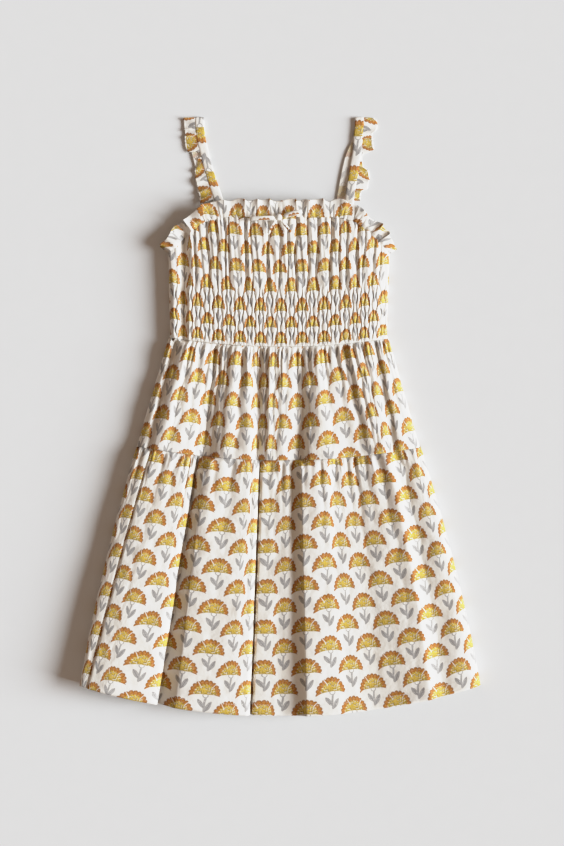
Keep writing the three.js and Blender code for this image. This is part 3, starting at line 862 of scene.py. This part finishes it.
def bodice_front():
    """The bodice's front: gathers below the neck line and smocking above the waist."""
    sizes = bpy.context.scene.dress_sizes
    points, cloth, _ = fold_grid(
        BODICE_FOLDS_FROM_TOP, seam_line(WAIST), top_height, columns=540, rows=90)
    x = points[..., 0]
    above = points[..., 1] - seam_height(WAIST, x)
    pitch = sizes.smocking_pitch / MM
    smocked = sizes.smocking_rows * pitch
    in_smocking = 1 - ease(above, smocked - 4, smocked + 8)
    row_turn = np.cos(np.pi * above / pitch)
    pleat = (x + 114) / PLEAT_PITCH + 0.25 * wander(x, 60, 12)
    shifted = pleat + PLEAT_LEAN * np.cos(np.pi * pleat) * row_turn
    ridge = PLEAT_HEIGHT * (np.abs(np.sin(np.pi * shifted)) ** 0.35 - 0.8)
    height = ridge * (1 - 0.25 * np.abs(row_turn) ** 6) * in_smocking
    gathered = 1 - in_smocking
    for place, width, depth in GROOVES:
        lean = place + 1.4 * wander(above, 90, place) + 0.03 * place * (above - 60) / 60
        length = 1 - 0.35 * (1 + wander(above, 70, 2 * place)) / 2
        height -= depth * length * np.exp(-np.abs((x - lean) / (0.75 * width)) ** 1.5) * gathered
    height += gathers(x, 140 - above, 6.2, 1.3, 12, 41) * gathered
    height += 0.5 * wander(x + 0.1 * above, 9.3, 7) * gathered
    height *= side_fade(cloth, 12) * sizes.gather_depth
    height = height * (0.2 + 0.8 * ease(above, 1.5, 6)) + 1.1 * np.exp(-((above - 1.6) / 1.4) ** 2)
    points = raise_cloth(points, height)
    run = bodice_cloth(x, cloth, above, in_smocking)
    prints = np.stack([run - FIRST_COLUMN, print_rise(above)], axis=-1)
    piece = cloth_piece("smocked_front", points, prints, sizes.cloth_thickness / MM, cottons())
    return settle(piece, "bodice_front")


def print_rise(above):
    """Height up the print at a height above the waist, which the smocking draws together."""
    return along(BODICE_PRINT, above)


def back_panel(name, node, folds, lower, upper, rows, first_row):
    """A back panel, nearly flat on the floor, with its own low gathers."""
    columns = 160
    table = np.array(folds, float)
    share_across = np.linspace(0, 1, columns)
    cloth = table[0, 0] + (table[-1, 0] - table[0, 0]) * share_across
    edges = []
    for i, edge in ((3, lower), (1, upper)):
        x = table[0, i] + (table[-1, i] - table[0, i]) * share_across
        edges.append(np.stack([x, edge(x), np.full(columns, 0.9)], axis=-1))
    share = np.linspace(0, 1, rows)[:, None]
    points = edges[0][None] + (edges[1] - edges[0])[None] * share[..., None]
    drop = float(np.max(upper(np.zeros(1)) - lower(np.zeros(1))))
    down = np.broadcast_to((1 - share) * drop, (rows, columns))
    spread = np.broadcast_to(cloth, (rows, columns))
    height = 0.35 * gathers(spread, down, 9, 1.0, 40, 51) + 0.12 * wander(spread, 60, 3)
    points[..., 2] = np.clip(points[..., 2] + height, 0.7, 1.25)
    prints = np.stack([spread - FIRST_COLUMN, -(down - first_row)], axis=-1)
    piece = cloth_piece(name, points, prints, SINGLE_CLOTH, cottons()[::-1])
    return settle(piece, node)


def ribbon_frame(path, steps):
    """Evenly spaced points along a path, the way it runs at each and how far along each one is."""
    path = np.array(path, float)
    lengths = np.concatenate([[0], np.cumsum(np.linalg.norm(np.diff(path, axis=0), axis=1))])
    at = np.linspace(0, lengths[-1], steps)
    points = np.stack([smooth(lengths, path[:, i], at) for i in range(3)], axis=-1)
    way = np.gradient(points, axis=0)
    way /= np.linalg.norm(way, axis=1, keepdims=True)
    return points, way, at


def strap_line(front, back):
    """A strap's whole middle line: up the front, round the shoulder and down the back."""
    x = front[-1][0]
    bend = []
    for i in range(7):
        angle = math.pi * (0.5 - i / 6)
        bend.append((x, SHOULDER_BEND["y"] + SHOULDER_BEND["radius"] * math.cos(angle),
                     SHOULDER_BEND["z"] + SHOULDER_BEND["radius"] * math.sin(angle)))
    return [*front, *bend, *back]


def within_reach(grid):
    """A strap's points kept off the floor and inside the dress's length."""
    grid[..., 2] = np.maximum(grid[..., 2], LOWEST_STRAP)
    grid[..., 1] = np.minimum(grid[..., 1], HALF_LENGTH)
    return grid


def strap(side, outward, front, back, first_row):
    """A strap of folded cloth, from the neck line over the shoulder and down beneath."""
    width = bpy.context.scene.dress_sizes.strap_width / MM
    points, way, at = ribbon_frame(strap_line(front, back), 220)
    sideways = np.tile([1.0, 0.0, 0.0], (len(points), 1))
    across = np.linspace(-0.5, 0.5, 11)
    grid = points[:, None] + sideways[:, None] * (across * width)[None, :, None]
    face = np.cross(way, sideways)
    face *= np.sign(face[:1, 2:3])
    crown = 0.5 * (1 - (2 * across) ** 4)[None, :] + 0.14 * wander(at, 9, 4)[:, None] * across[None, :]
    grid = within_reach(grid + face[:, None] * crown[..., None])
    row = (at - first_row)[:, None] * 0.9 * outward
    prints = np.stack(np.broadcast_arrays((across * width * outward)[None, :], row), axis=-1)
    grid = grid.transpose(1, 0, 2)[::-1]
    prints = prints.transpose(1, 0, 2)[::-1]
    piece = cloth_piece(side + "_strap", grid, prints, DOUBLE_CLOTH, cottons())
    return settle(piece, "strap_" + side)


def strap_ruffle(side, outward, front, back, reach, seed):
    """The ruffle on a strap's outer edge, waved on the front run and flat beneath."""
    width = bpy.context.scene.dress_sizes.strap_width / MM
    points, way, at = ribbon_frame(strap_line(front[1:], back[:-1]), 300)
    heights, reaches = zip(*reach)
    span = smooth(heights, reaches, np.clip(points[:, 1], heights[0], heights[-1]))
    in_front = ease(points[:, 2], 1.2, 2.1)
    span = span * in_front + RUFFLE_BENEATH * (1 - in_front)
    in_front = in_front[:, None]
    plan = np.stack([way[:, 1], -way[:, 0], np.zeros(len(points))], axis=-1)
    plan = np.where(plan[:, :1] * outward < 0, -plan, plan)
    plan = np.where(np.abs(plan[:, :1]) < 0.5, np.array([outward, 0.0, 0.0]), plan)
    plan /= np.linalg.norm(plan, axis=1, keepdims=True)
    sewn = width / 2 - 1.4
    out = np.linspace(0, 1, 12)[None, :]
    grid = points[:, None] + plan[:, None] * (sewn + out * span[:, None])[..., None]
    turn = 2 * np.pi * (at / 10.5 + 0.35 * wander(at, 34, seed))[:, None]
    fine = np.sin(2 * np.pi * (at / 4.3 + 0.4 * wander(at, 21, seed + 1)))[:, None]
    lift = 1.1 * np.sin(turn) * out ** 1.2 + 0.3 * fine * out * np.exp(-3 * out)
    grid[..., 2] += (lift - 0.5 * out + 0.1) * in_front
    grid[..., 2] = np.maximum(grid[..., 2], 1.3 * in_front)
    grid[..., 1] += 1.2 * np.cos(turn) * out * in_front
    grid = within_reach(grid)
    prints = np.stack(np.broadcast_arrays((at[:, None] - 10) * 1.716 + seed, -out * 15 + 6), axis=-1)
    piece = cloth_piece(side + "_strap_ruffle", grid, prints, SINGLE_CLOTH, cottons(), turned=outward < 0)
    return settle(piece, "strap_ruffle_" + side)


def frill(name, node, start, end, width, waves, lift, seed, tip=None):
    """A softly waved frill: the cloth's own heading above the gathered line of the bodice.

    It narrows to the index of its tip, where one is given."""
    x = np.linspace(start, end, 40)
    table = np.array(BODICE_FOLDS, float)
    z = np.interp(x, table[:, 3], table[:, 4]) + 1.0
    path = np.stack([x, top_height(x), z], axis=-1)
    steps = waves * 34
    points, way, at = ribbon_frame(path, steps)
    plan = np.stack([-way[:, 1], way[:, 0], np.zeros(steps)], axis=-1)
    plan /= np.linalg.norm(plan, axis=1, keepdims=True)
    out = np.linspace(-0.34, 1, 20)
    turn = waves * at / at[-1] + 0.45 * wander(at, 61, seed)
    reach = width * (1 + 0.1 * wander(at, 27, seed + 2) + 0.05 * np.cos(2 * np.pi * turn))
    if tip is not None:
        reach = reach * (0.6 + 0.4 * ease(np.abs(at - at[tip]), 0, 14))
    grid = points[:, None] + plan[:, None] * (out[None, :] * reach[:, None])[..., None]
    outer = np.clip(out, 0, 1)[None, :]
    size = 1 + 0.5 * wander(at, 37, seed + 3)
    wave = lift * size * np.sin(2 * np.pi * turn)
    tucks = 0.7 * (np.abs(np.sin(np.pi * (at / 5.6 + 0.5 * wander(at, 31, seed + 1)))) ** 0.6 - 0.6)
    near = np.exp(-(outer / 0.5) ** 2)
    grid[..., 2] += wave[:, None] * (0.25 + outer ** 1.3) + tucks[:, None] * near + 0.5 + 1.2 * outer
    grid[..., 2] += 4.5 * np.minimum(out, 0)[None, :]
    grid[..., 0] += 1.3 * np.cos(2 * np.pi * turn)[:, None] * outer
    grid[..., 2] = np.maximum(grid[..., 2], 2.5)
    cloth = np.interp(points[:, 0], table[:, 3], table[:, 0]) - FIRST_COLUMN
    top = print_rise(top_height(points[:, 0]) - seam_height(WAIST, points[:, 0]))
    spread = 0.8 * cloth[:, None] + 0.6 * wave[:, None] * outer
    prints = np.stack([spread, top[:, None] + out[None, :] * width * 1.05], axis=-1)
    grid = grid.transpose(1, 0, 2)
    prints = prints.transpose(1, 0, 2)
    piece = cloth_piece(name, grid, prints, SINGLE_CLOTH, cottons())
    return settle(piece, node)


def tape(name, path, width, material):
    """A narrow folded tape, round in section, along a path."""
    steps, turns = 40, 12
    points, way, at = ribbon_frame(path, steps)
    side = np.stack([-way[:, 1], way[:, 0], np.zeros(steps)], axis=-1)
    longer = np.linalg.norm(side, axis=1, keepdims=True)
    side = np.where(longer > 0.3, side / np.maximum(longer, 1e-6), 0)
    for i in range(1, steps):
        if not side[i].any():
            side[i] = side[i - 1]
        elif side[i] @ side[i - 1] < 0:
            side[i] = -side[i]
    face = np.cross(way, side)
    angle = np.linspace(0, 2 * np.pi, turns + 1)[:-1]
    taper = np.clip(np.minimum(at, at[-1] - at) / 1.2 + 0.35, 0, 1)[:, None, None]
    ring = (side[:, None] * (np.cos(angle) * width / 2)[None, :, None]
            + face[:, None] * (np.sin(angle) * TAPE_HALF_THICKNESS)[None, :, None]) * taper
    faces = ring_faces(steps, turns)
    faces.append(tuple(range(turns))[::-1])
    faces.append(tuple((steps - 1) * turns + j for j in range(turns)))
    mesh = smooth_mesh(name, (points[:, None] + ring).reshape(-1, 3), faces, [material])
    mesh.update()
    row = side[:, 1:2] * np.cos(angle) * width / 2 + TAPE_ROW
    prints = np.stack(np.broadcast_arrays(at[:, None] - TAPE_FLOWER, row), axis=-1)
    map_cloth(mesh, prints.reshape(-1, 2))
    return add_object(name, mesh)


def rounded_lump(name, centre, size, material, lean=0.0):
    """A small soft lump such as a knot or a bead, wound by the turns of its tape."""
    rings, turns = 12, 20
    theta = np.linspace(0, np.pi, rings + 2)[1:-1, None]
    phi = np.linspace(0, 2 * np.pi, turns + 1)[None, :-1]
    fluted = 1 + 0.06 * np.cos(3 * phi + 2 * theta)
    spots = np.stack([np.sin(theta) * np.cos(phi) * fluted, np.sin(theta) * np.sin(phi) * fluted,
                      np.cos(theta) * np.ones_like(phi)], axis=-1)
    spots = spots * (np.array(size) / 2)
    cosine, sine = math.cos(lean), math.sin(lean)
    x, y = spots[..., 0] * cosine - spots[..., 1] * sine, spots[..., 0] * sine + spots[..., 1] * cosine
    spots = np.stack([x, y, spots[..., 2]], axis=-1).reshape(-1, 3) + np.array(centre)
    poles = np.array([centre, centre], float)
    poles[:, 2] += size[2] / 2, -size[2] / 2
    top = len(spots)
    faces = ring_faces(rings, turns, turned=True)
    for j in range(turns):
        k = (j + 1) % turns
        faces.append((top, j, k))
        faces.append((top + 1, (rings - 1) * turns + k, (rings - 1) * turns + j))
    mesh = smooth_mesh(name, np.concatenate([spots, poles]), faces, [material])
    mesh.update()
    return add_object(name, mesh)


# Stitches, by Geometry Nodes

def stitch_tree(material):
    """Geometry Nodes: a short rounded stitch at even steps along a path, lying along it."""
    tree = bpy.data.node_groups.new("running_stitch", "GeometryNodeTree")
    tree.interface.new_socket(name="Geometry", in_out="INPUT", socket_type="NodeSocketGeometry")
    for name, kind, default in (
        ("Pitch", "NodeSocketFloat", 0.0028),
        ("Stitch Length", "NodeSocketFloat", 0.002),
        ("Thread Thickness", "NodeSocketFloat", 0.00045),
        ("Seed", "NodeSocketInt", 4),
    ):
        tree.interface.new_socket(name=name, in_out="INPUT", socket_type=kind).default_value = default
    tree.interface.new_socket(name="Geometry", in_out="OUTPUT", socket_type="NodeSocketGeometry")
    kinds = {
        "given": "NodeGroupInput",
        "path": "GeometryNodeMeshToCurve",
        "spaced": "GeometryNodeResampleCurve",
        "thread": "GeometryNodeMeshUVSphere",
        "scale": "ShaderNodeCombineXYZ",
        "sized": "GeometryNodeTransform",
        "tangent": "GeometryNodeInputTangent",
        "turn": "FunctionNodeAlignRotationToVector",
        "uneven": "FunctionNodeRandomValue",
        "placed": "GeometryNodeInstanceOnPoints",
        "solid": "GeometryNodeRealizeInstances",
        "smoothed": "GeometryNodeSetShadeSmooth",
        "coated": "GeometryNodeSetMaterial",
        "result": "NodeGroupOutput",
    }
    nodes = {name: tree.nodes.new(kind) for name, kind in kinds.items()}
    nodes["spaced"].mode = "LENGTH"
    set_inputs(nodes["thread"], {"Segments": 6, "Rings": 4, "Radius": 0.5})
    nodes["turn"].axis = "Z"
    uneven = nodes["uneven"]
    uneven.data_type = "FLOAT"
    size_range = {"Min": 0.85, "Max": 1.1}
    for socket in uneven.inputs:
        if socket.enabled and socket.name in size_range:
            socket.default_value = size_range[socket.name]
    set_inputs(nodes["coated"], {"Material": material})
    for source, out, target, into in (
        ("given", "Geometry", "path", "Mesh"),
        ("path", "Curve", "spaced", "Curve"),
        ("given", "Pitch", "spaced", "Length"),
        ("given", "Thread Thickness", "scale", "X"),
        ("given", "Thread Thickness", "scale", "Y"),
        ("given", "Stitch Length", "scale", "Z"),
        ("thread", "Mesh", "sized", "Geometry"),
        ("scale", "Vector", "sized", "Scale"),
        ("tangent", "Tangent", "turn", "Vector"),
        ("given", "Seed", "uneven", "Seed"),
        ("spaced", "Curve", "placed", "Points"),
        ("sized", "Geometry", "placed", "Instance"),
        ("turn", "Rotation", "placed", "Rotation"),
        ("placed", "Instances", "solid", "Geometry"),
        ("solid", "Geometry", "smoothed", "Geometry"),
        ("smoothed", "Geometry", "coated", "Geometry"),
        ("coated", "Geometry", "result", "Geometry"),
    ):
        tree.links.new(nodes[source].outputs[out], nodes[target].inputs[into])
    tree.links.new(next(out for out in uneven.outputs if out.enabled), nodes["placed"].inputs["Scale"])
    return tree


def stitches(name, line, sizes, material):
    """Stitches along a line of points, made by the stitch tree and kept as one plain mesh."""
    tree = stitch_tree(material)
    mesh = bpy.data.meshes.new(name + "_path")
    mesh.from_pydata((np.asarray(line) * MM).tolist(), [(i, i + 1) for i in range(len(line) - 1)], [])
    guide = add_object(name + "_path", mesh)
    modifier = guide.modifiers.new("running_stitch", "NODES")
    modifier.node_group = tree
    for item in tree.interface.items_tree:
        if item.item_type == "SOCKET" and item.in_out == "INPUT" and item.name in sizes:
            modifier[item.identifier] = sizes[item.name]
    evaluated = guide.evaluated_get(bpy.context.evaluated_depsgraph_get())
    result = bpy.data.meshes.new_from_object(evaluated)
    result.name = name
    bpy.data.objects.remove(guide)
    return sew_on(add_object(name, result))


def lies_on(piece, x, y, proud):
    """Points on top of a cloth piece, above given places."""
    tree = bpy.context.evaluated_depsgraph_get()
    shown = piece.evaluated_get(tree)
    spots = []
    for place_x, place_y in zip(x, y):
        origin = Vector((place_x * MM, place_y * MM, WELL_ABOVE))
        found, spot, _, _ = shown.ray_cast(origin, Vector((0, 0, -1)))
        if found:
            spots.append((place_x, place_y, spot.z / MM + proud))
    return spots


# Settings

class DressSizes(bpy.types.PropertyGroup):
    cloth_thickness: FloatProperty(
        name="Cloth Thickness", description="Thickness of the cotton", default=0.45 * MM,
        min=0.1 * MM, max=2 * MM, unit="LENGTH", precision=5)
    gather_depth: FloatProperty(
        name="Gather Depth", description="How deep the gathers stand, against the usual",
        default=1.0, min=0, max=2, subtype="FACTOR")
    smocking_pitch: FloatProperty(
        name="Smocking Pitch", description="Distance between two rows of the smocking",
        default=9.36 * MM, min=4 * MM, max=20 * MM, unit="LENGTH", precision=5)
    smocking_rows: IntProperty(
        name="Smocking Rows", description="Rows of smocking above the waist", default=6, min=1, max=12)
    strap_width: FloatProperty(
        name="Strap Width", description="Width of a strap without its ruffle", default=9.5 * MM,
        min=4 * MM, max=30 * MM, unit="LENGTH", precision=5)
    frill_width: FloatProperty(
        name="Frill Width", description="Width of the frill along the neck", default=13.5 * MM,
        min=4 * MM, max=30 * MM, unit="LENGTH", precision=5)


def colour_setting(name, description, colour):
    """A colour of the dress, given as a display colour."""
    return FloatVectorProperty(
        name=name, description=description, default=linear(*colour), min=0, max=1, subtype="COLOR", size=3)


class DressColours(bpy.types.PropertyGroup):
    cloth: colour_setting("Cloth", "Ground of the print", (240, 236, 228))
    cloth_shade: colour_setting("Cloth Shade", "Slightly darker ground", (235, 228, 217))
    petal_orange: colour_setting("Petal Orange", "Outer petals", (183, 118, 34))
    petal_edge: colour_setting("Petal Edge", "Outline of the outer petals", (138, 80, 16))
    petal_yellow: colour_setting("Petal Yellow", "Inner petals", (211, 178, 62))
    petal_speckle: colour_setting("Petal Speckle", "Specks and streaks of the inner petals", (142, 116, 28))
    leaf_grey: colour_setting("Leaf Grey", "Stem, leaves and cup", (178, 174, 170))
    leaf_vein: colour_setting("Leaf Vein", "Veins of the leaves", (146, 141, 138))
    thread: colour_setting("Thread", "Sewing thread", (238, 234, 226))
    bead: colour_setting("Bead", "Bead at the end of the bow", (168, 112, 62))
    floor: colour_setting("Floor", "Floor under the dress", (226, 226, 225))


# Studio light: a low soft key from the right and a faint warm fill from all round
KEY = {"power": 6.45, "colour": (0.93, 1.01, 1.08), "spread": 32, "bearing": -4, "height": 22, "distance": 3}
FILL = {"strength": 0.21, "colour": (1.28, 0.95, 0.73)}

# Camera over the dress, in metres, and its lens in millimetres
CAMERA = {"place": (0.001, -0.0078, 2.077), "lens": 85, "sensor_height": 36}

# Floor, just under the dress, in metres
FLOOR = {"size": 40, "height": -0.0004}

# Highlights: brightness of the light and how bright it is shown
SHOULDER = ((0.35, 0.35), (0.74, 0.74), (0.86, 0.81), (1.1, 0.865), (1.6, 0.91), (2.4, 0.95))


# Operators

class DRESS_OT_stage(bpy.types.Operator):
    """Add the floor, the studio lights and the camera over the dress"""
    bl_idname = "dress.stage"
    bl_label = "Stage"

    def execute(self, context):
        scene = context.scene
        bpy.ops.mesh.primitive_plane_add(size=FLOOR["size"], location=(0, 0, FLOOR["height"]))
        floor = context.active_object
        floor.name = "floor"
        material, tree, shader = new_material("pale_floor", {"Roughness": 0.9, "Specular IOR Level": 0.1})
        spot = tree.nodes.new("ShaderNodeTexCoord").outputs["Object"]
        tone = noise(tree, spot, 60, 3).rise(0.2, 0.8)
        pale = tuple(scene.dress_colours.floor)
        faint = tuple(0.985 * value for value in pale)
        tree.links.new(mixed(tree, tone, pale, faint), shader.inputs["Base Color"])
        floor.data.materials.append(material)

        light = bpy.data.lights.new("key_light", "SUN")
        light.energy = KEY["power"]
        light.color = KEY["colour"]
        light.angle = math.radians(KEY["spread"])
        key = add_object("key_light", light)
        bearing, height = math.radians(KEY["bearing"]), math.radians(KEY["height"])
        from_dress = Vector((math.cos(bearing) * math.cos(height), math.sin(bearing) * math.cos(height),
                             math.sin(height)))
        key.location = from_dress * KEY["distance"]
        key.rotation_euler = from_dress.to_track_quat("Z", "Y").to_euler()
        world = bpy.data.worlds.new("studio")
        world.use_nodes = True
        set_inputs(world.node_tree.nodes["Background"], {
            "Color": (*FILL["colour"], 1), "Strength": FILL["strength"]})
        scene.world = world

        lens = bpy.data.cameras.new("camera")
        lens.sensor_fit = "VERTICAL"
        lens.sensor_height = CAMERA["sensor_height"]
        lens.lens = CAMERA["lens"]
        camera = add_object("camera", lens)
        camera.location = CAMERA["place"]
        scene.camera = camera
        shown = scene.view_settings
        shown.view_transform = "Standard"
        shown.look = "None"
        shown.use_curve_mapping = True
        tones = shown.curve_mapping
        tones.clip_max_x = 4
        tones.clip_max_y = 1
        curve = tones.curves[3]
        curve.points[1].location = (4, 0.99)
        for light_level, shown_level in SHOULDER:
            curve.points.new(light_level, shown_level)
        tones.update()
        return {"FINISHED"}


class DRESS_OT_skirt(bpy.types.Operator):
    """Add both tiers of the skirt, front and back, and the stitches of the hem"""
    bl_idname = "dress.skirt"
    bl_label = "Skirt"

    def execute(self, context):
        back_panel("lower_tier_back", "skirt_lower_back", LOWER_FOLDS,
                   lambda x: np.maximum(seam_height(HEM, x), -HALF_LENGTH), seam_line(TIER_SEAM, -0.3),
                   50, LOWER_FIRST_ROW)
        back_panel("upper_tier_back", "skirt_upper_back", UPPER_FOLDS,
                   seam_line(TIER_SEAM), seam_line(WAIST, -0.3), 30, UPPER_FIRST_ROW)
        lower = lower_front()
        upper_front()
        x = np.linspace(-200, 200, 260)
        y = seam_height(HEM, x) + HEM_DEPTH
        material = plain_cotton("cotton_thread", context.scene.dress_colours.thread)
        hem_line = lies_on(lower, x, y, 0.1)
        stitches("hem_stitches", hem_line, {"Pitch": 0.0028, "Stitch Length": 0.0019}, material)
        return {"FINISHED"}


class DRESS_OT_bodice(bpy.types.Operator):
    """Add the smocked bodice, front and back"""
    bl_idname = "dress.bodice"
    bl_label = "Bodice"

    def execute(self, context):
        back_panel("smocked_back", "bodice_back", BODICE_FOLDS_FROM_TOP,
                   seam_line(WAIST), top_height, 40, 20)
        bodice_front()
        return {"FINISHED"}


class DRESS_OT_frills(bpy.types.Operator):
    """Add the frills along the neck and the armholes"""
    bl_idname = "dress.frills"
    bl_label = "Frills"

    def execute(self, context):
        width = context.scene.dress_sizes.frill_width / MM
        frill("top_frill", "neck_frill", -80, 77, width, 9, 1.0, 3)
        frill("left_armhole_frill", "arm_frill_left", -117, -79, 11, 3, 1.7, 6)
        frill("right_armhole_frill", "arm_frill_right", 76, 113, 11, 3, 1.7, 9, -1)
        return {"FINISHED"}


class DRESS_OT_straps(bpy.types.Operator):
    """Add the two straps and their ruffles"""
    bl_idname = "dress.straps"
    bl_label = "Straps"

    def execute(self, context):
        for row in STRAPS:
            strap(row["side"], row["outward"], row["front"], row["back"], row["first_row"])
        for row in STRAPS:
            strap_ruffle(row["side"], row["outward"], row["front"], row["back"], row["reach"], row["seed"])
        return {"FINISHED"}


class DRESS_OT_bow(bpy.types.Operator):
    """Add the small bow at the middle of the neck"""
    bl_idname = "dress.bow"
    bl_label = "Bow"

    def execute(self, context):
        colours = context.scene.dress_colours
        cotton = plain_cotton("bow_tape", colours.cloth)
        bead = plain_cotton("bow_bead", colours.bead)
        for name, node, path, width in BOW_TAPES:
            sew_on(tape(name, path, width, cottons()[0]), node)
        sew_on(rounded_lump("bow_centre", (-2.4, 204, 20), (7.5, 6.5, 4.6), cotton, 0.3), "bow_knot")
        sew_on(rounded_lump("bow_end_bead", (9.2, 190, 18.8), (3.2, 3.0, 2.8), bead))
        return {"FINISHED"}


class DRESS_PT_panel(bpy.types.Panel):
    """Sundress pieces and their settings"""
    bl_idname = "DRESS_PT_panel"
    bl_label = "Sundress"
    bl_space_type = "VIEW_3D"
    bl_region_type = "UI"
    bl_category = "Sundress"

    def draw(self, context):
        layout = self.layout
        for group in (context.scene.dress_sizes, context.scene.dress_colours):
            for name in group.__annotations__:
                layout.prop(group, name)
        for operator in OPERATORS:
            layout.operator(operator.bl_idname)


OPERATORS = (DRESS_OT_stage, DRESS_OT_skirt, DRESS_OT_bodice, DRESS_OT_frills, DRESS_OT_straps, DRESS_OT_bow)
CLASSES = (DressSizes, DressColours, *OPERATORS, DRESS_PT_panel)


def register():
    for kind in CLASSES:
        bpy.utils.register_class(kind)
    bpy.types.Scene.dress_sizes = PointerProperty(type=DressSizes)
    bpy.types.Scene.dress_colours = PointerProperty(type=DressColours)


def unregister():
    del bpy.types.Scene.dress_colours
    del bpy.types.Scene.dress_sizes
    for kind in reversed(CLASSES):
        bpy.utils.unregister_class(kind)


def main():
    register()
    bpy.ops.dress.stage()
    bpy.ops.dress.skirt()
    bpy.ops.dress.bodice()
    bpy.ops.dress.frills()
    bpy.ops.dress.straps()
    bpy.ops.dress.bow()


if __name__ == "__main__":
    main()
